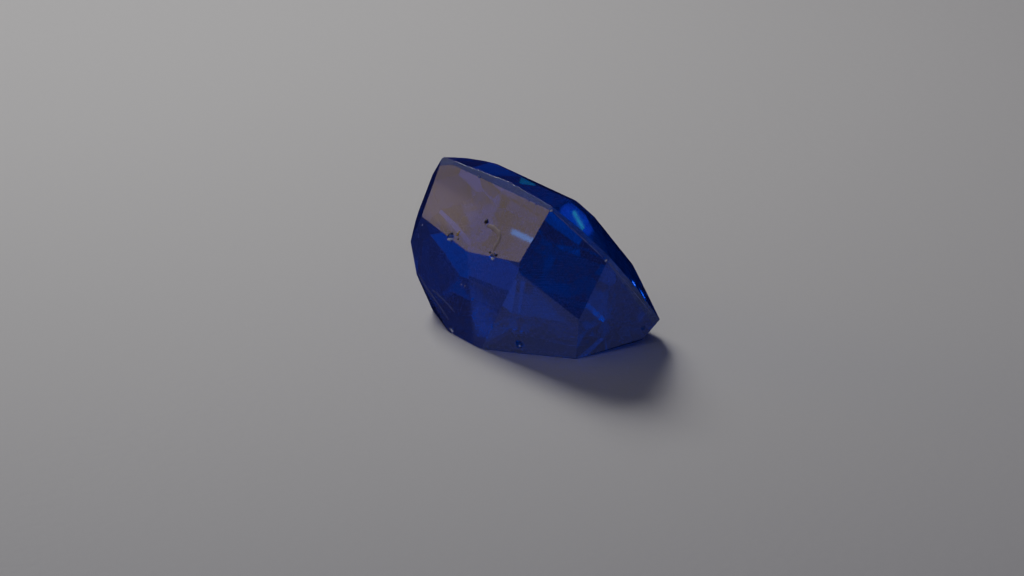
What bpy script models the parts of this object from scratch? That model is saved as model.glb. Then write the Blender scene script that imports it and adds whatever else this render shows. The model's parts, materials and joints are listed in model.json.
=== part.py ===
# A Ceylon sapphire cut as a long cushion, lying on one of its lower facets.
# The crown has kites, stars and paired break facets. The pavilion is step cut in two tiers,
# and ends in a keel instead of a point.

import math

import bmesh
import bpy
from mathutils import Matrix, Vector

MM = 0.001
NAME = "sapphire"

# The rough block that the facets are cut from, in millimetres.
BLOCK_MM = 16.0
# A corner nearer to a cut than this counts as lying on it.
ON_CUT_MM = 1e-6

# Axes while the stone is cut: X along its length, Z up through the table, and -Y is the
# long side that the viewer sees. Z = 0 is halfway up the girdle.
# Corners of the girdle, (X, Y) in millimetres, counter-clockwise from the table side.
GIRDLE_CORNERS = [
    (-3.70, -3.02),
    (-2.86, -3.13),
    (3.06, -3.13),
    (4.49, -1.02),
    (4.23, 2.50),
    (3.40, 3.13),
    (-3.09, 3.13),
    (-4.66, 1.56),
    (-5.00, -0.27),
    (-4.66, -2.18),
]
# Half the girdle's thickness at its corners. It is thicker in the middle of each side,
# where the two break facets over it meet.
GIRDLE_HALF_MM = 0.07

TABLE_MM = 1.13
STAR_FOOT_MM = 0.79
BREAK_TURN_DEG = 3.5

# Crown sides that carry two break facets, turned a little away from each other.
# (girdle side, first break angle, second break angle, star angle), a side being named by
# its first corner.
FULL_SIDES = [
    (1, 38.5, 41.5, 26.0),
    (2, 38.0, 38.0, 22.5),
    (3, 28.5, 28.5, 22.0),
    (4, 35.0, 35.0, 20.0),
    (5, 41.0, 41.0, 26.0),
    (6, 38.0, 38.0, 24.0),
]
# Crown sides bent at a corner, with one break facet on each half.
# (corner in the middle, break angle, star angle)
BENT_SIDES = [
    (8, 31.5, 20.0),
    (0, 42.0, 25.5),
]
# Kite facets, each standing on a corner of the girdle. (corner, angle)
KITES = [
    (2, 36.0),
    (3, 29.0),
    (4, 26.0),
    (5, 35.0),
    (6, 36.0),
    (7, 33.0),
    (9, 31.5),
]

# Pavilion facets: the way they face, in degrees round from the viewer's side towards +X,
# their angle from the girdle, and their distance from the stone's centre in millimetres.
UPPER_PAVILION = [
    ("near side", 0.0, 68.0, 2.93),
    ("near right corner", 56.0, 68.0, 4.00),
    ("right end", 94.0, 82.5, 4.385),
    ("far right corner", 144.0, 60.0, 4.28),
    ("far side", 180.0, 66.0, 2.88),
    ("far left corner", -135.0, 66.0, 4.05),
    ("left end", -101.0, 67.0, 4.65),
    ("near left corner", -35.0, 68.5, 4.28),
]
LOWER_PAVILION = [
    ("near side, left", -4.5, 47.5, 3.26),
    ("near side, middle", -3.5, 48.0, 3.22),
    ("near side, right", 3.5, 50.0, 3.19),
    ("near right corner, first", 52.5, 47.0, 4.01),
    ("near right corner, second", 57.5, 49.5, 4.03),
    ("far left corner", -139.0, 51.0, 4.17),
    ("left end", -82.0, 46.5, 4.77),
    ("near left corner", -50.0, 24.0, 4.42),
]
# The facet that the stone lies on.
REST_ANGLE_DEG = 50.5
REST_DISTANCE_MM = 2.72

# How far the lying stone is turned about the vertical.
TURN_DEG = -56.0

BODY_BLUE = (0.010, 0.030, 0.300, 1.0)
CORUNDUM_IOR = 1.768
POLISH_ROUGHNESS = 0.02


def outward(azimuth, angle, up):
    """The direction a facet faces. up is +1 on the crown and -1 on the pavilion."""
    turn = math.radians(azimuth)
    slope = math.radians(angle)
    level = Vector((math.sin(turn), -math.cos(turn), 0.0)) * math.sin(slope)
    return level + Vector((0.0, 0.0, up * math.cos(slope)))


def side_azimuth(side):
    """The way the girdle faces between a corner and the next one."""
    x0, y0 = GIRDLE_CORNERS[side]
    x1, y1 = GIRDLE_CORNERS[(side + 1) % len(GIRDLE_CORNERS)]
    return math.degrees(math.atan2(y1 - y0, x1 - x0))


def middle_azimuth(first, second):
    """The direction halfway between two azimuths."""
    a, b = math.radians(first), math.radians(second)
    return math.degrees(math.atan2(math.sin(a) + math.sin(b), math.cos(a) + math.cos(b)))


def corner_top(corner):
    x, y = GIRDLE_CORNERS[corner % len(GIRDLE_CORNERS)]
    return Vector((x, y, GIRDLE_HALF_MM))


def girdle_cuts():
    """Upright walls, one for each side of the girdle."""
    for side, (x, y) in enumerate(GIRDLE_CORNERS):
        yield Vector((x, y, 0.0)), outward(side_azimuth(side), 90.0, 1)


def on_ridge(first, second, height):
    """The point at a given height where two facets, each (point, normal), meet."""
    (p, n), (q, m) = first, second
    a = n.dot(p) - n.z * height
    b = m.dot(q) - m.z * height
    area = n.x * m.y - n.y * m.x
    return Vector(((a * m.y - b * n.y) / area, (b * n.x - a * m.x) / area, height))


def star_cut(breaks, azimuth, angle):
    """A star facet, whose foot stands on the ridge between two break facets."""
    return on_ridge(*breaks, STAR_FOOT_MM), outward(azimuth, angle, 1)


def crown_cuts():
    count = len(GIRDLE_CORNERS)
    yield Vector((0.0, 0.0, TABLE_MM)), Vector((0.0, 0.0, 1.0))
    for side, first_angle, second_angle, star_angle in FULL_SIDES:
        facing = side_azimuth(side)
        breaks = [
            (corner_top(side), outward(facing - BREAK_TURN_DEG, first_angle, 1)),
            (corner_top(side + 1), outward(facing + BREAK_TURN_DEG, second_angle, 1)),
        ]
        yield from breaks
        yield star_cut(breaks, facing, star_angle)
    for corner, break_angle, star_angle in BENT_SIDES:
        before = side_azimuth((corner - 1) % count)
        after = side_azimuth(corner)
        breaks = [
            (corner_top(corner), outward(before, break_angle, 1)),
            (corner_top(corner), outward(after, break_angle, 1)),
        ]
        yield from breaks
        yield star_cut(breaks, middle_azimuth(before, after), star_angle)
    for corner, angle in KITES:
        facing = middle_azimuth(side_azimuth((corner - 1) % count), side_azimuth(corner))
        yield corner_top(corner), outward(facing, angle, 1)


def pavilion_cuts():
    for _, azimuth, angle, distance in UPPER_PAVILION + LOWER_PAVILION:
        normal = outward(azimuth, angle, -1)
        yield normal * distance, normal
    rest = outward(180.0, REST_ANGLE_DEG, -1)
    yield rest * REST_DISTANCE_MM, rest


def cut_away(bm, point, normal):
    """Grinds one flat facet: takes off what lies beyond it and closes the cut."""
    cut = bmesh.ops.bisect_plane(
        bm,
        geom=bm.verts[:] + bm.edges[:] + bm.faces[:],
        plane_co=point,
        plane_no=normal,
        dist=ON_CUT_MM,
        clear_outer=True,
    )
    rim = [item for item in cut["geom_cut"] if isinstance(item, bmesh.types.BMEdge)]
    if rim:
        bmesh.ops.contextual_create(bm, geom=rim)


def cut_stone():
    """The stone as a mesh in metres, lying on its resting facet."""
    bm = bmesh.new()
    bmesh.ops.create_cube(bm, size=BLOCK_MM)
    for cuts in (girdle_cuts(), pavilion_cuts(), crown_cuts()):
        for point, normal in cuts:
            cut_away(bm, point, normal)
    lie_down = Matrix.Rotation(math.radians(-REST_ANGLE_DEG), 4, "X")
    turn = Matrix.Rotation(math.radians(TURN_DEG), 4, "Z")
    bmesh.ops.transform(bm, matrix=Matrix.Scale(MM, 4) @ turn @ lie_down, verts=bm.verts)
    low, high = bounds(bm)
    foot = Vector(((low.x + high.x) / 2, (low.y + high.y) / 2, low.z))
    bmesh.ops.translate(bm, vec=-foot, verts=bm.verts)
    bmesh.ops.recalc_face_normals(bm, faces=bm.faces)
    mesh = bpy.data.meshes.new(NAME)
    bm.to_mesh(mesh)
    bm.free()
    return mesh


def bounds(bm):
    """Lowest and highest corner of the mesh's box."""
    low = Vector([min(v.co[i] for v in bm.verts) for i in range(3)])
    high = Vector([max(v.co[i] for v in bm.verts) for i in range(3)])
    return low, high


def corundum_material():
    material = bpy.data.materials.new("blue corundum")
    material.use_nodes = True
    shader = material.node_tree.nodes["Principled BSDF"]
    shader.inputs["Base Color"].default_value = BODY_BLUE
    shader.inputs["Metallic"].default_value = 0.0
    shader.inputs["Roughness"].default_value = POLISH_ROUGHNESS
    shader.inputs["IOR"].default_value = CORUNDUM_IOR
    return material


def main():
    for obj in list(bpy.data.objects):
        bpy.data.objects.remove(obj, do_unlink=True)
    stone = bpy.data.objects.new(NAME, cut_stone())
    stone.data.materials.append(corundum_material())
    bpy.context.scene.collection.objects.link(stone)


main()
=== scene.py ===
import json
import math
import random

import bmesh
import bpy
from mathutils import Matrix, Vector
from mathutils.bvhtree import BVHTree


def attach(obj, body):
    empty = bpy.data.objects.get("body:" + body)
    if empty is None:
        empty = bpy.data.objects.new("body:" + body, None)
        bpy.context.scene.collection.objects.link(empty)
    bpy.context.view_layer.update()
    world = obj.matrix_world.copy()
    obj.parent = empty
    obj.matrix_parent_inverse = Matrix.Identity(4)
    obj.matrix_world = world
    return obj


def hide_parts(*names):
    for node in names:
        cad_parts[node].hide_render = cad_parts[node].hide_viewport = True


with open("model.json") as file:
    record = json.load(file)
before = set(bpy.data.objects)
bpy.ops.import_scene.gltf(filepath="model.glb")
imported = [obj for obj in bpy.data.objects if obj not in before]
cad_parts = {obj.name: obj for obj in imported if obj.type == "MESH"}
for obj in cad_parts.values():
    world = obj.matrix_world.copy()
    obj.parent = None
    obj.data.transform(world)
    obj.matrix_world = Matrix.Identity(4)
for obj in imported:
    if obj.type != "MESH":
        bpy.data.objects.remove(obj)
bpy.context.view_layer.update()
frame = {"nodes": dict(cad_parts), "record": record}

mm = 0.001


def linear(code):  # "#rrggbb" in sRGB to linear RGBA
    parts = [int(code[i:i + 2], 16) / 255.0 for i in (1, 3, 5)]
    return tuple(c / 12.92 if c <= 0.04045 else ((c + 0.055) / 1.055) ** 2.4 for c in parts) + (1.0,)


def addNode(tree, kind, settings=None, inputs=None):  # an input is a plain value, a socket or a node
    made = tree.nodes.new(kind)
    for name, value in (settings or {}).items():
        setattr(made, name, value)
    for name, value in (inputs or {}).items():
        socket = next(s for s in made.inputs if s.enabled and name in (s.identifier, s.name))
        if isinstance(value, bpy.types.Node):
            value = next(s for s in value.outputs if s.enabled)
        if isinstance(value, bpy.types.NodeSocket):
            tree.links.new(value, socket)
        else:
            socket.default_value = value
    return made


def newMaterial(name):
    material = bpy.data.materials.new(name)
    material.use_nodes = True
    material.node_tree.nodes.clear()
    return material, material.node_tree


def newObject(name, data):
    made = bpy.data.objects.new(name, data)
    bpy.context.scene.collection.objects.link(made)
    return made


def meshOf(bm, name):  # the plain mesh of a bmesh, which is done with after this
    mesh = bpy.data.meshes.new(name)
    bm.to_mesh(mesh)
    bm.free()
    return mesh


def newGroup(name, sizes):  # a Geometry Nodes tree with its geometry sockets and an input for each size
    group = bpy.data.node_groups.new(name, "GeometryNodeTree")
    group.interface.new_socket("Geometry", in_out="INPUT", socket_type="NodeSocketGeometry")
    group.interface.new_socket("Geometry", in_out="OUTPUT", socket_type="NodeSocketGeometry")
    for label, kind in sizes.items():
        group.interface.new_socket(label, in_out="INPUT", socket_type="NodeSocket" + kind)
    return group, addNode(group, "NodeGroupInput").outputs


def grown(piece, group, values, name):  # runs a tree on a piece and returns the result as a plain mesh
    modifier = piece.modifiers.new(group.name, "NODES")
    modifier.node_group = group
    for item in group.interface.items_tree:
        if item.in_out == "INPUT" and item.name in values:
            modifier[item.identifier] = values[item.name]
    graph = bpy.context.evaluated_depsgraph_get()
    mesh = bpy.data.meshes.new_from_object(piece.evaluated_get(graph))
    mesh.name = name
    piece.modifiers.remove(modifier)
    return mesh


view = {
    "elevation": 19.06,              # degrees above the table
    "lens": 300.0,                   # mm
    "sensor": 36.0,                  # mm wide
    "frameWidth": 34.8,              # mm that the frame spans at the stone
    "aim": (-0.763, -0.555, 1.242),  # mm, the point in the middle of the frame
    "imageSize": (1024, 576),        # pixels
    "clip": (0.01, 50.0),            # m
}


def makeCamera(s):
    elevation = math.radians(s["elevation"])
    back = Vector((0.0, -math.cos(elevation), math.sin(elevation)))
    lens = bpy.data.cameras.new("camera")
    lens.lens = s["lens"]
    lens.sensor_width = s["sensor"]
    lens.clip_start, lens.clip_end = s["clip"]
    made = newObject("camera", lens)
    made.location = Vector(s["aim"]) * mm + back * (s["frameWidth"] * mm * s["lens"] / s["sensor"])
    made.rotation_euler = (-back).to_track_quat("-Z", "Y").to_euler()
    bpy.context.scene.camera = made
    return made


camera = makeCamera(view)
pixelSize = view["frameWidth"] / view["imageSize"][0] * mm   # m at the stone
print("camera set")

stone = {
    "mergeWithin": 0.000001,         # m
    "flatAngle": 0.05,               # degrees, faces nearer than this are one facet
    "girdleWithin": 0.02,            # how far from square to the table facet a girdle face may stand
    "edgeWear": 0.020,               # mm
    "edgeSteps": 2,
    "edgeRound": 0.5,                # profile of the worn edge, 0.5 is an arc
    "edgeGround": 0.35,              # how matte the worn edges are, and those of the girdle
    "girdleEdgeGround": 1.0,
    "polish": 0.03,                  # roughness of the facets
    "frost": 0.20,                   # roughness where the stone is only ground: girdle and chips
    "ior": 1.768,
    "clearness": 0.82,               # the rest is the milky bloom of fine silk just under the facets
    "bodyColour": "#7a5cf4",
    "groundColour": "#a9abe6",
    "absorbColour": (0.11, 0.16, 0.96),   # linear, what is left of each colour
    "absorbDensity": 450.0,          # per metre
}


def mergedStone(s):  # the CAD solid's mesh, with each facet a single face
    bm = bmesh.new()
    bm.from_mesh(frame["nodes"]["sapphire"].data)
    bmesh.ops.remove_doubles(bm, verts=bm.verts, dist=s["mergeWithin"])
    flat = math.radians(s["flatAngle"])
    bmesh.ops.dissolve_limit(bm, angle_limit=flat, verts=bm.verts, edges=bm.edges)
    print("facets", len(bm.faces), "edges", len(bm.edges))
    return bm


blank = mergedStone(stone)
surface = BVHTree.FromBMesh(blank)
middle = sum((v.co for v in blank.verts), Vector()) / len(blank.verts)
mounts = {mount["name"]: mount for mount in frame["record"]["mounts"]}
tableFacing = Vector(mounts["table"]["axis"])


def facetAt(pixel, body=surface):  # the point that a pixel shows, the way it faces, and the way to it
    wide, high = view["imageSize"]
    perPixel = view["sensor"] / view["lens"] / wide
    aim = Vector(((pixel[0] - wide / 2) * perPixel, (high / 2 - pixel[1]) * perPixel, -1.0))
    towards = (camera.rotation_euler.to_matrix() @ aim).normalized()
    spot, facing, _, _ = body.ray_cast(camera.location, towards)
    return spot, facing, towards


studio = {
    "tableSize": 6.0,                # m
    "tableDrop": 0.00002,            # m below the stone, so that the two don't share a face
    "tableColour": "#d9d6d2",
    "tableRoughness": 0.7,
    "tableGrain": 0.4,               # mm from one fibre bundle to the next
    "tableGrainDepth": 0.05,         # mm
    "tableGrainShare": 0.25,
    "tableGrainDetail": 4.0,
    "sky": "#bfc1e8",
    "skyDim": 0.085,
    "skyGlows": [
        # towards, how far a direction leans that way where the glow starts and is full, its strength
        ((-0.42, -0.60, 0.68), 0.70, 0.98, 0.25),
        ((-0.53, -0.68, -0.49), 0.80, 0.98, 0.28),
        ((0.77, -0.34, -0.53), 0.90, 0.99, 0.18),
        ((-0.97, 0.22, -0.11), 0.985, 0.997, 0.10),
        ((0.10, 0.99, 0.05), 0.60, 0.93, -0.085),
    ],
    "softboxes": [
        # name, direction from the stone, distance and size in m, watts, spread in degrees, colour
        ("side softbox", (-0.90, 0.34, 0.27), 0.45, (0.22, 0.14), 0.078, 180.0, "#ffe676"),
        ("key softbox", (-0.32, 0.73, 0.60), 0.12, (0.040, 0.040), 0.022, 100.0, "#ffffff"),
    ],
    "glintSpread": 180.0,            # degrees
    "glints": [
        # name, the pixels that its long side is mirrored at, its width in pixels, distance in m,
        # radiance, colour
        ("cyan glint", (515.5, 233.0), (530.5, 240.0), 5.5, 0.03, 3.0, "#2c80ff"),
        ("teal glint", (574.0, 212.5), (582.5, 227.5), 2.8, 0.03, 1.3, "#20f0b8"),
        ("dim teal glint", (521.0, 181.5), (534.0, 185.5), 7.0, 0.12, 0.28, "#30c0ff"),
        ("blue glint", (562.0, 208.0), (590.0, 234.0), 16.0, 0.12, 1.5, "#4400ff"),
        ("side reflector", (438.0, 190.0), (430.0, 222.0), 34.0, 0.45, 0.14, "#ffe0c8"),
        ("near reflector", (429.0, 197.0), (464.0, 216.5), 34.0, 0.08, 0.18, "#ffe0c8"),
    ],
}


# Heavy uncoated paper, pressed smooth and not glazed: a pale, even, matt ground with only a breath of
# tooth in it.
def makePaper(s):
    material, tree = newMaterial("pale uncoated paper")
    coords = addNode(tree, "ShaderNodeTexCoord").outputs["Object"]
    grain = addNode(tree, "ShaderNodeTexNoise", inputs={
        "Vector": coords, "Scale": 1 / (s["tableGrain"] * mm), "Detail": s["tableGrainDetail"]})
    bump = addNode(tree, "ShaderNodeBump", inputs={
        "Strength": s["tableGrainShare"], "Distance": s["tableGrainDepth"] * mm, "Height": grain})
    shader = addNode(tree, "ShaderNodeBsdfPrincipled", inputs={
        "Base Color": linear(s["tableColour"]), "Roughness": s["tableRoughness"], "Normal": bump})
    addNode(tree, "ShaderNodeOutputMaterial", inputs={"Surface": shader})
    return material


def makeTable(s):
    bm = bmesh.new()
    bmesh.ops.create_grid(bm, x_segments=1, y_segments=1, size=s["tableSize"] / 2)
    bmesh.ops.translate(bm, vec=(0, 0, -s["tableDrop"]), verts=bm.verts)
    table = newObject("table", meshOf(bm, "table"))
    table.data.materials.append(makePaper(s))
    table.visible_glossy = False     # the facets mirror the dim surroundings, and not the pale table


def makeSky(s):  # a dim, even sky with soft glows in it, and a darker part behind the stone
    world = bpy.data.worlds.new("studio")
    world.use_nodes = True
    tree = world.node_tree
    coords = addNode(tree, "ShaderNodeTexCoord").outputs["Generated"]
    strength = s["skyDim"]
    for towards, start, full, glow in s["skyGlows"]:
        lean = addNode(tree, "ShaderNodeVectorMath", {"operation": "DOT_PRODUCT"}, {
            "Vector": coords, "Vector_001": Vector(towards).normalized()}).outputs["Value"]
        share = addNode(tree, "ShaderNodeMapRange", {"interpolation_type": "SMOOTHSTEP"}, {
            "Value": lean, "From Min": start, "From Max": full})
        strength = addNode(tree, "ShaderNodeMath", {"operation": "MULTIPLY_ADD"}, {
            "Value": share.outputs["Result"], "Value_001": glow, "Value_002": strength}).outputs["Value"]
    sky = tree.nodes["Background"]
    sky.inputs["Color"].default_value = linear(s["sky"])
    tree.links.new(strength, sky.inputs["Strength"])
    bpy.context.scene.world = world


def addLamp(name, size, watts, colour, spread, place):
    lamp = bpy.data.lights.new(name, "AREA")
    lamp.shape = "RECTANGLE"
    lamp.size, lamp.size_y = size
    lamp.energy = watts
    lamp.spread = math.radians(spread)
    lamp.color = linear(colour)[:3]
    body = newObject(name, lamp)
    body.matrix_world = place
    body.visible_camera = False


def addSoftbox(name, direction, distance, size, watts, spread, colour):
    towards = Vector(direction).normalized()
    turned = towards.to_track_quat("Z", "Y").to_matrix().to_4x4()
    addLamp(name, size, watts, colour, spread, Matrix.Translation(towards * distance) @ turned)


def addGlint(s, name, first, last, width, distance, radiance, colour):  # a lamp that a facet mirrors
    ends = []
    for pixel in (first, last):
        spot, facing, towards = facetAt(pixel)
        ends.append(spot + (towards - 2 * towards.dot(facing) * facing) * distance)
    centre = (ends[0] + ends[1]) / 2
    mirroredAt = facetAt([(a + b) / 2 for a, b in zip(first, last)])[0]
    away = (centre - mirroredAt).normalized()
    along = (ends[1] - ends[0]).normalized()
    across = away.cross(along).normalized()
    long = (ends[1] - ends[0]).length
    wide = width * pixelSize * (1 + distance / camera.location.length)
    watts = radiance * math.pi * long * wide
    turned = Matrix((across.cross(away), across, away)).transposed().to_4x4()
    addLamp(name, (long, wide), watts, colour, s["glintSpread"], Matrix.Translation(centre) @ turned)


def makeStudio(s):
    makeTable(s)
    makeSky(s)
    for softbox in s["softboxes"]:
        addSoftbox(*softbox)
    for glint in s["glints"]:
        addGlint(s, *glint)


makeStudio(studio)
print("table and lights set")


# Natural corundum, cut and then polished on a lap: mirror-bright facets over a clear blue body that
# deepens with the length of the light's way through it. Fine silk under the facets gives a faint
# milky bloom. The girdle, the worn edges and the chips are not polished, so they are frosted and paler.
def makeCorundum(s):
    material, tree = newMaterial("polished blue corundum")
    ground = addNode(tree, "ShaderNodeAttribute", {"attribute_name": "ground"}).outputs["Fac"]
    rough = addNode(tree, "ShaderNodeMapRange", inputs={
        "Value": ground, "To Min": s["polish"], "To Max": s["frost"]})
    colour = addNode(tree, "ShaderNodeMix", {"data_type": "RGBA"}, {
        "Factor": ground, "A": linear(s["bodyColour"]), "B": linear(s["groundColour"])})
    shader = addNode(tree, "ShaderNodeBsdfPrincipled", inputs={
        "Base Color": colour, "Roughness": rough, "IOR": s["ior"],
        "Transmission Weight": s["clearness"]})
    dye = addNode(tree, "ShaderNodeVolumeAbsorption", inputs={
        "Color": (*s["absorbColour"], 1.0), "Density": s["absorbDensity"]})
    addNode(tree, "ShaderNodeOutputMaterial", inputs={"Surface": shader, "Volume": dye})
    return material


def isGirdle(face, s):
    return abs(face.normal.dot(tableFacing)) < s["girdleWithin"]


def distanceTo(spot, start, end):  # from a point to a straight edge
    along = end - start
    share = min(1.0, max(0.0, (spot - start).dot(along) / along.length_squared))
    return (spot - start - along * share).length


def makeStone(s):  # the stone with worn edges, and how ground each face of it is
    bm = blank.copy()
    ground = bm.faces.layers.float.new("ground")
    for face in bm.faces:
        face[ground] = float(isGirdle(face, s))
    rims = []
    for edge in bm.edges:
        onGirdle = any(isGirdle(face, s) for face in edge.link_faces)
        start, end = (vert.co.copy() for vert in edge.verts)
        rims.append((start, end, s["girdleEdgeGround"] if onGirdle else s["edgeGround"]))
    worn = bmesh.ops.bevel(bm, geom=bm.edges[:], offset=s["edgeWear"] * mm, offset_type="OFFSET",
                           segments=s["edgeSteps"], profile=s["edgeRound"], affect="EDGES",
                           clamp_overlap=True)["faces"]
    for face in worn:
        spot = face.calc_center_median()
        face[ground] = min(rims, key=lambda rim: distanceTo(spot, rim[0], rim[1]))[2]
    mesh = meshOf(bm, "stone_bevelled")
    mesh.materials.append(makeCorundum(s))
    return newObject("stone_bevelled", mesh)


bevelled = makeStone(stone)
print("stone made")

wear = {
    "chips": [
        # pixel of the picture, width in pixels, how far the ball that cuts it stands out of the
        # facet, as a share of its radius
        ((451.0, 237.5), 9.5, 0.45),
        ((493.0, 256.5), 8.0, 0.45),
        ((452.0, 330.5), 6.5, 0.35),
        ((519.0, 344.5), 9.0, 0.50),
        ((551.0, 210.0), 5.0, 0.40),
        ((606.0, 260.0), 4.5, 0.40),
        ((421.0, 226.0), 3.0, 0.30),
        ((418.5, 236.0), 3.0, 0.30),
        ((479.0, 176.5), 3.0, 0.30),
        ((643.0, 328.0), 5.0, 0.30),
    ],
    "roughness": 0.16,               # share of a chip's radius
    "chipDetail": 2,                 # subdivisions of the ball that cuts a chip, and of a nick's
    "nickDetail": 1,
    "nickEvery": 0.42,               # mm along the facet edges
    "nickShare": 0.30,               # of those places that have one
    "nickRadius": 0.034,             # mm
    "nickSpread": (0.5, 1.5),
    "nickShift": 0.02,               # mm
    "seed": 11,
}


def roughBall(bm, centre, stretch, roughness, detail, dice):  # a lump with uneven, flat-sided faces
    made = bmesh.ops.create_icosphere(bm, subdivisions=detail, radius=1.0)["verts"]
    for vert in made:
        vert.co *= 1 + dice.uniform(-roughness, roughness)
    bmesh.ops.transform(bm, matrix=Matrix.Translation(centre) @ stretch, verts=made)


def chipCutters(s):
    dice = random.Random(s["seed"])
    bm = bmesh.new()
    for pixel, width, out in s["chips"]:
        spot, facing, _ = facetAt(pixel)
        radius = width * pixelSize / 2 / math.sqrt(1 - out * out)
        centre = spot + facing * radius * out
        roughBall(bm, centre, Matrix.Scale(radius, 4), s["roughness"], s["chipDetail"], dice)
    return newObject("chips", meshOf(bm, "chips"))


def wearTree(s):  # strews small balls along the facet edges and cuts them, and the chips, out of the stone
    group, given = newGroup("edge wear", {
        "Chips": "Object", "Edges": "Object", "Every": "Float", "Share": "Float", "Radius": "Float",
        "Smallest": "Float", "Largest": "Float", "Shift": "Float", "Seed": "Int",
        "Material": "Material"})
    edges = addNode(group, "GeometryNodeObjectInfo", inputs={"Object": given["Edges"]})
    lines = addNode(group, "GeometryNodeMeshToCurve", inputs={"Mesh": edges.outputs["Geometry"]})
    spots = addNode(group, "GeometryNodeCurveToPoints", {"mode": "LENGTH"}, {
        "Curve": lines, "Length": given["Every"]}).outputs["Points"]
    chance = addNode(group, "FunctionNodeRandomValue", {"data_type": "FLOAT"}, {
        "Min": 0.0, "Max": 1.0, "Seed": given["Seed"]})
    spare = addNode(group, "FunctionNodeCompare", {"operation": "GREATER_THAN"}, {
        "A": chance, "B": given["Share"]})
    spots = addNode(group, "GeometryNodeDeleteGeometry", {"domain": "POINT"}, {
        "Geometry": spots, "Selection": spare})
    back = addNode(group, "ShaderNodeMath", {"operation": "MULTIPLY"}, {
        "Value": given["Shift"], "Value_001": -1.0})
    shift = addNode(group, "FunctionNodeRandomValue", {"data_type": "FLOAT_VECTOR"}, {
        "Min": back, "Max": given["Shift"], "Seed": given["Seed"]})
    spots = addNode(group, "GeometryNodeSetPosition", inputs={"Geometry": spots, "Offset": shift})
    size = addNode(group, "FunctionNodeRandomValue", {"data_type": "FLOAT"}, {
        "Min": given["Smallest"], "Max": given["Largest"], "Seed": given["Seed"]})
    turn = addNode(group, "FunctionNodeRandomValue", {"data_type": "FLOAT_VECTOR"}, {
        "Min": (0.0, 0.0, 0.0), "Max": (math.tau, math.tau, math.tau), "Seed": given["Seed"]})
    ball = addNode(group, "GeometryNodeMeshIcoSphere", inputs={
        "Radius": given["Radius"], "Subdivisions": s["nickDetail"]})
    nicks = addNode(group, "GeometryNodeInstanceOnPoints", inputs={
        "Points": spots, "Instance": ball.outputs["Mesh"], "Rotation": turn, "Scale": size})
    nicks = addNode(group, "GeometryNodeRealizeInstances", inputs={"Geometry": nicks})
    chips = addNode(group, "GeometryNodeObjectInfo", inputs={"Object": given["Chips"]})
    cutters = addNode(group, "GeometryNodeJoinGeometry")
    group.links.new(nicks.outputs["Geometry"], cutters.inputs["Geometry"])
    group.links.new(chips.outputs["Geometry"], cutters.inputs["Geometry"])
    asFaces = {"data_type": "FLOAT", "domain": "FACE"}
    cutters = addNode(group, "GeometryNodeStoreNamedAttribute", asFaces, {
        "Geometry": cutters, "Name": "ground", "Value": 1.0})
    exactly = {"operation": "DIFFERENCE", "solver": "EXACT"}
    cut = addNode(group, "GeometryNodeMeshBoolean", exactly, {
        "Mesh 1": given["Geometry"], "Mesh 2": cutters, "Self Intersection": True}).outputs["Mesh"]
    real = addNode(group, "GeometryNodeRealizeInstances", inputs={"Geometry": cut})
    done = addNode(group, "GeometryNodeSetMaterial", inputs={
        "Geometry": real, "Material": given["Material"]})
    addNode(group, "NodeGroupOutput", inputs={"Geometry": done})
    return group


def makeWear(s):
    chips = chipCutters(s)
    wires = bpy.data.meshes.new("facet_edges")
    blank.to_mesh(wires)
    wires = newObject("facet_edges", wires)
    smallest, largest = s["nickSpread"]
    mesh = grown(bevelled, wearTree(s), {
        "Chips": chips, "Edges": wires, "Every": s["nickEvery"] * mm, "Share": s["nickShare"],
        "Radius": s["nickRadius"] * mm, "Smallest": smallest, "Largest": largest,
        "Shift": s["nickShift"] * mm, "Seed": s["seed"], "Material": bevelled.data.materials[0]},
        "sapphire_polished")
    for spent in (chips, wires, bevelled):
        bpy.data.objects.remove(spent)
    piece = newObject("sapphire_polished", mesh)
    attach(piece, "root")
    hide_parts("sapphire")
    return piece


polished = makeWear(wear)
print("wear made, faces", len(polished.data.polygons))

silk = {
    "perCubicMm": 600.0,
    "inset": 0.90,                   # share of the stone's size that the silk fills
    "fillStep": 0.1,                 # mm, grain of the space that is filled
    "fillDepth": 10.0,               # mm, more than the stone's half width, so that it is filled through
    "length": 0.30,                  # mm
    "halfWidth": 0.003,              # mm
    "sides": 3,
    "lengthSpread": (0.4, 1.4),
    "basal": ((1.0, 0.0, 0.0), (0.0, 0.5, 0.87)),   # two directions in the crystal's basal plane
    "directions": 3,                 # that needles take in that plane
    "between": 60.0,                 # degrees from one to the next
    "thickTowards": (0.25, -0.35, -0.90),   # the silk is densest on this side
    "thickFrom": -1.5,               # mm from the middle, none before this
    "thickTo": 2.8,                  # mm, full density from here on
    "colour": "#eef0ff",
    "roughness": 0.4,
    "seed": 4,
    "thinningSeed": 77,
}


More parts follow.
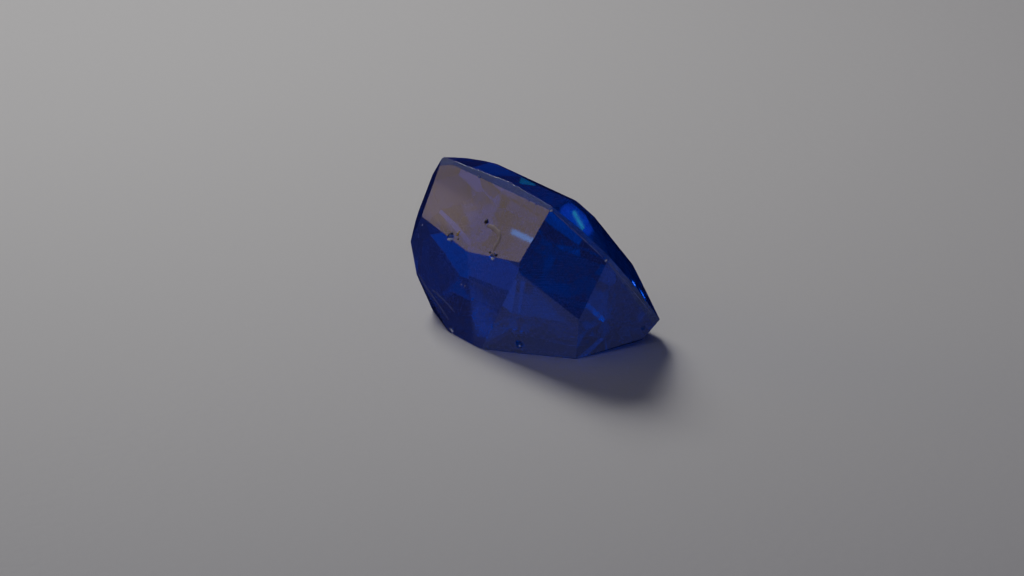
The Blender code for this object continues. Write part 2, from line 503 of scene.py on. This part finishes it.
def silkTree(s):  # fills the stone with needles that lie in three directions, thinned out on one side
    group, given = newGroup("rutile silk", {
        "Inset": "Float", "Shift": "Vector", "Density": "Float", "Length": "Float",
        "Half width": "Float", "Shortest": "Float", "Longest": "Float", "Across": "Vector",
        "Along": "Vector", "Seed": "Int", "Thinning seed": "Int", "Towards": "Vector",
        "From": "Float", "To": "Float", "Middle": "Vector", "Material": "Material"})
    shrunk = addNode(group, "GeometryNodeTransform", inputs={
        "Geometry": given["Geometry"], "Translation": given["Shift"], "Scale": given["Inset"]})
    filled = addNode(group, "GeometryNodeMeshToVolume", {"resolution_mode": "VOXEL_SIZE"}, {
        "Mesh": shrunk, "Density": 1.0, "Voxel Size": s["fillStep"] * mm,
        "Interior Band Width": s["fillDepth"] * mm})
    spots = addNode(group, "GeometryNodeDistributePointsInVolume", {"mode": "DENSITY_RANDOM"}, {
        "Volume": filled, "Density": given["Density"], "Seed": given["Seed"]})
    place = addNode(group, "GeometryNodeInputPosition")
    fromMiddle = addNode(group, "ShaderNodeVectorMath", {"operation": "SUBTRACT"}, {
        "Vector": place, "Vector_001": given["Middle"]})
    depth = addNode(group, "ShaderNodeVectorMath", {"operation": "DOT_PRODUCT"}, {
        "Vector": fromMiddle, "Vector_001": given["Towards"]}).outputs["Value"]
    share = addNode(group, "ShaderNodeMapRange", {"interpolation_type": "SMOOTHSTEP"}, {
        "Value": depth, "From Min": given["From"], "From Max": given["To"]})
    chance = addNode(group, "FunctionNodeRandomValue", {"data_type": "FLOAT"}, {
        "Min": 0.0, "Max": 1.0, "Seed": given["Thinning seed"]})
    spare = addNode(group, "FunctionNodeCompare", {"operation": "GREATER_THAN"}, {
        "A": chance, "B": share})
    spots = addNode(group, "GeometryNodeDeleteGeometry", {"domain": "POINT"}, {
        "Geometry": spots, "Selection": spare})
    pick = addNode(group, "FunctionNodeRandomValue", {"data_type": "INT"}, {
        "Min": 0, "Max": s["directions"] - 1, "Seed": given["Seed"]})
    turn = addNode(group, "ShaderNodeMath", {"operation": "MULTIPLY"}, {
        "Value": pick, "Value_001": math.radians(s["between"])})
    cosine = addNode(group, "ShaderNodeMath", {"operation": "COSINE"}, {"Value": turn})
    sine = addNode(group, "ShaderNodeMath", {"operation": "SINE"}, {"Value": turn})
    onX = addNode(group, "ShaderNodeVectorMath", {"operation": "SCALE"}, {
        "Vector": given["Across"], "Scale": cosine})
    onY = addNode(group, "ShaderNodeVectorMath", {"operation": "SCALE"}, {
        "Vector": given["Along"], "Scale": sine})
    lies = addNode(group, "ShaderNodeVectorMath", {"operation": "ADD"}, {
        "Vector": onX, "Vector_001": onY})
    facing = addNode(group, "FunctionNodeAlignRotationToVector", {"axis": "Z"}, {"Vector": lies})
    size = addNode(group, "FunctionNodeRandomValue", {"data_type": "FLOAT"}, {
        "Min": given["Shortest"], "Max": given["Longest"], "Seed": given["Seed"]})
    needle = addNode(group, "GeometryNodeMeshCone", {"fill_type": "NGON"}, {
        "Vertices": s["sides"], "Side Segments": 1, "Fill Segments": 1, "Radius Top": 0.0,
        "Radius Bottom": given["Half width"], "Depth": given["Length"]})
    placed = addNode(group, "GeometryNodeInstanceOnPoints", inputs={
        "Points": spots, "Instance": needle.outputs["Mesh"], "Rotation": facing, "Scale": size})
    real = addNode(group, "GeometryNodeRealizeInstances", inputs={"Geometry": placed})
    done = addNode(group, "GeometryNodeSetMaterial", inputs={
        "Geometry": real, "Material": given["Material"]})
    addNode(group, "NodeGroupOutput", inputs={"Geometry": done})
    return group


# Rutile that came out of the cooling crystal as needles, far finer than these: pale, satiny threads,
# which together give the body a soft haze. They are drawn as thick as they need to be to catch light.
def makeRutile(s):
    material, tree = newMaterial("rutile needle silk")
    shader = addNode(tree, "ShaderNodeBsdfPrincipled", inputs={
        "Base Color": linear(s["colour"]), "Roughness": s["roughness"]})
    addNode(tree, "ShaderNodeOutputMaterial", inputs={"Surface": shader})
    return material


def makeSilk(s):
    mesh = bpy.data.meshes.new("silk_base")
    blank.to_mesh(mesh)
    base = newObject("silk_base", mesh)
    first, second = (Vector(direction) for direction in s["basal"])
    across = first.normalized()
    along = (second - across * across.dot(second)).normalized()
    shortest, longest = s["lengthSpread"]
    needles = grown(base, silkTree(s), {
        "Inset": s["inset"], "Shift": middle * (1 - s["inset"]),
        "Density": s["perCubicMm"] / mm ** 3, "Length": s["length"] * mm,
        "Half width": s["halfWidth"] * mm, "Shortest": shortest, "Longest": longest,
        "Across": across, "Along": along, "Seed": s["seed"], "Thinning seed": s["thinningSeed"],
        "Towards": Vector(s["thickTowards"]).normalized(), "From": s["thickFrom"] * mm,
        "To": s["thickTo"] * mm, "Middle": middle, "Material": makeRutile(s)},
        "rutile_silk")
    bpy.data.objects.remove(base)
    print("silk faces", len(needles.polygons))
    piece = newObject("rutile_silk", needles)
    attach(piece, "root")


makeSilk(silk)
print("silk made")

marks = {
    "finishes": {
        # colour, piece and material of each
        "white": ("#ffffff", "residue_white", "bruised chip floor and painted highlight"),
        "ochre": ("#d0b860", "residue_ochre", "dried ochre clay"),
        "brown": ("#33261f", "residue_brown", "dried brown clay and painted rim shade"),
        "tan": ("#a8989a", "healed_crack", "healed crack with fine dust in it"),
        "pale": ("#8a88c4", "frosted_rim", "painted highlight on the girdle rim"),
        "dull": ("#5856a0", "worn_lines", "painted reflection lines"),
    },
    "matt": 0.6,                     # roughness of them all
    "sunk": 0.4,                     # share of a lump's thickness that is below the surface
    "flatness": 0.5,                 # thickness over width
    "roughness": 0.18,
    "lumpDetail": 2,                 # subdivisions
    "lumps": [
        # finish, pixel of its middle, length and width in pixels, turn in the picture in degrees
        # the white lumps are bruised chip floors, and also painted highlights on the chips and girdle
        # corners
        ("white", (450.8, 239.2), 8.0, 2.6, 0.0),
        ("white", (493.2, 259.2), 6.5, 3.0, -52.0),
        ("white", (452.0, 330.5), 6.5, 2.6, -42.0),
        ("white", (461.5, 284.5), 2.2, 1.1, -20.0),
        ("white", (465.0, 286.0), 1.6, 1.0, 30.0),
        ("white", (479.0, 176.5), 1.8, 1.2, 0.0),
        ("white", (519.5, 346.0), 4.0, 1.8, -10.0),
        ("white", (551.5, 210.5), 4.0, 2.0, 30.0),
        ("white", (606.0, 260.5), 3.0, 1.6, 40.0),
        ("white", (422.5, 225.0), 1.8, 1.0, 50.0),
        ("ochre", (457.8, 234.2), 4.2, 3.6, 20.0),
        ("ochre", (459.5, 231.5), 2.2, 1.8, 0.0),
        ("tan", (493.8, 254.3), 4.6, 2.6, 0.0),
        ("brown", (486.5, 221.5), 5.0, 4.6, 0.0),
        ("brown", (490.0, 252.3), 3.2, 2.2, -20.0),
        ("brown", (496.6, 255.2), 3.2, 2.6, 20.0),
        ("brown", (458.3, 239.0), 2.4, 1.8, 0.0),
        # these two thin brown lumps are painted shade along the rim of the first chip
        ("brown", (448.0, 236.0), 4.4, 1.3, 55.0),
        ("brown", (452.2, 233.8), 5.0, 1.3, -12.0),
    ],
    "tracks": [
        # finish, width in pixels, pixels along the healed crack, the painted rim highlight or the painted
        #  reflection line
        ("tan", 6.0, [(487.0, 225.5), (491.5, 227.0), (496.0, 230.0), (499.0, 234.0), (499.6, 238.0),
                      (497.6, 242.5), (494.8, 246.5), (493.6, 251.5)]),
        # these two dull tracks are painted reflection lines on the lower left facets
        ("dull", 2.6, [(418.5, 274.0), (425.5, 286.0), (433.5, 297.5), (441.0, 308.5), (449.0, 320.0)]),
        ("dull", 2.4, [(432.0, 289.5), (440.5, 297.0), (448.0, 304.5), (455.0, 312.5)]),
        # these two pale tracks are a painted highlight along the girdle's frosted rim
        ("pale", 1.2, [(554.0, 212.5), (570.0, 227.0), (588.0, 243.5), (603.0, 257.5)]),
        ("pale", 1.2, [(609.0, 263.0), (625.0, 281.5), (640.0, 299.5), (651.0, 313.5)]),
    ],
    "trackStep": 0.8,                # pixels
    "trackSides": 8,
    "trackHeight": 0.3,              # shares of a track's half width: how high its back is
    "trackSunk": 0.12,               # and how deep its middle lies
    "trackEnd": 0.35,                # share of the width at the ends
    "trackTaper": 4,                 # how fast the width grows from there
    "trackUneven": (0.8, 1.1),
    "seed": 7,
}


def curvePlace(route, share):  # a place on the smooth curve through the route's points
    index = min(int(share * (len(route) - 1)), len(route) - 2)
    t = share * (len(route) - 1) - index
    a, b = route[index], route[index + 1]
    before, after = route[max(index - 1, 0)], route[min(index + 2, len(route) - 1)]
    return 0.5 * (2 * a + (b - before) * t + (2 * before - 5 * a + 4 * b - after) * t * t
                  + (3 * a - before - 3 * b + after) * t ** 3)


def addLump(s, bm, body, pixel, length, width, turn, dice):  # a flat grain, sunk a little into the surface
    spot, facing, _ = facetAt(pixel, body)
    right = camera.rotation_euler.to_matrix().col[0]
    flatTo = (right - facing * right.dot(facing)).normalized()
    upwards = facing.cross(flatTo)
    along = flatTo * math.cos(math.radians(turn)) + upwards * math.sin(math.radians(turn))
    thick = width * s["flatness"]
    halves = [length / 2 * pixelSize, width / 2 * pixelSize, thick / 2 * pixelSize]
    turned = Matrix((along, facing.cross(along), facing)).transposed().to_4x4()
    stretch = turned @ Matrix.Diagonal((*halves, 1.0))
    centre = spot + facing * halves[2] * (1 - 2 * s["sunk"])
    roughBall(bm, centre, stretch, s["roughness"], s["lumpDetail"], dice)


def addTrack(s, bm, body, width, route, dice):  # a low, uneven bead along the surface
    route = [Vector(pixel) for pixel in route]
    steps = int(sum((b - a).length for a, b in zip(route, route[1:])) / s["trackStep"])
    rings = []
    for index in range(steps + 1):
        spot, facing, _ = facetAt(curvePlace(route, index / steps), body)
        taper = min(1.0, s["trackEnd"] + s["trackTaper"] * min(index, steps - index) / steps)
        rings.append((spot, facing, width / 2 * pixelSize * taper * dice.uniform(*s["trackUneven"])))
    turns = [k / s["trackSides"] * math.tau for k in range(s["trackSides"])]
    loops = []
    for index, (spot, facing, half) in enumerate(rings):
        ahead = (rings[min(index + 1, steps)][0] - rings[max(index - 1, 0)][0]).normalized()
        sideways = facing.cross(ahead).normalized()
        loop = []
        for turn in turns:
            rise = facing * (s["trackHeight"] * math.sin(turn) - s["trackSunk"])
            loop.append(bm.verts.new(spot + half * (sideways * math.cos(turn) + rise)))
        loops.append(loop)
    for first, second in zip(loops, loops[1:]):
        for k in range(len(turns)):
            after = (k + 1) % len(turns)
            bm.faces.new((first[k], first[after], second[after], second[k]))
    bm.faces.new(loops[0][::-1])
    bm.faces.new(loops[-1])


# What cutting, wear and the ground it came from left on the stone, all of it dull beside the polish,
# and some painted light. White is bruised stone in the floor of a chip, which scatters all light, and
# also a painted highlight there and on the girdle's corners. Ochre is clay that dried in the pits. Brown
# is dried clay, and painted shade along the rim of one chip. Tan is dust caught in a crack that grew
# together again. The rim is a painted highlight along the ground girdle's edge, and the dull lines are
# painted reflections.
def makeMatt(name, colour, s):
    material, tree = newMaterial(name)
    shader = addNode(tree, "ShaderNodeBsdfPrincipled", inputs={
        "Base Color": linear(colour), "Roughness": s["matt"]})
    addNode(tree, "ShaderNodeOutputMaterial", inputs={"Surface": shader})
    return material


def makeMarks(s):
    body = BVHTree.FromObject(polished, bpy.context.evaluated_depsgraph_get())
    dice = random.Random(s["seed"])
    shapes = {finish: bmesh.new() for finish in s["finishes"]}
    for finish, pixel, length, width, turn in s["lumps"]:
        addLump(s, shapes[finish], body, pixel, length, width, turn, dice)
    for finish, width, route in s["tracks"]:
        addTrack(s, shapes[finish], body, width, route, dice)
    for finish, bm in shapes.items():
        colour, name, material = s["finishes"][finish]
        bmesh.ops.recalc_face_normals(bm, faces=bm.faces)
        piece = newObject(name, meshOf(bm, name))
        piece.data.materials.append(makeMatt(material, colour, s))
        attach(piece, "root")


makeMarks(marks)
print("marks made")
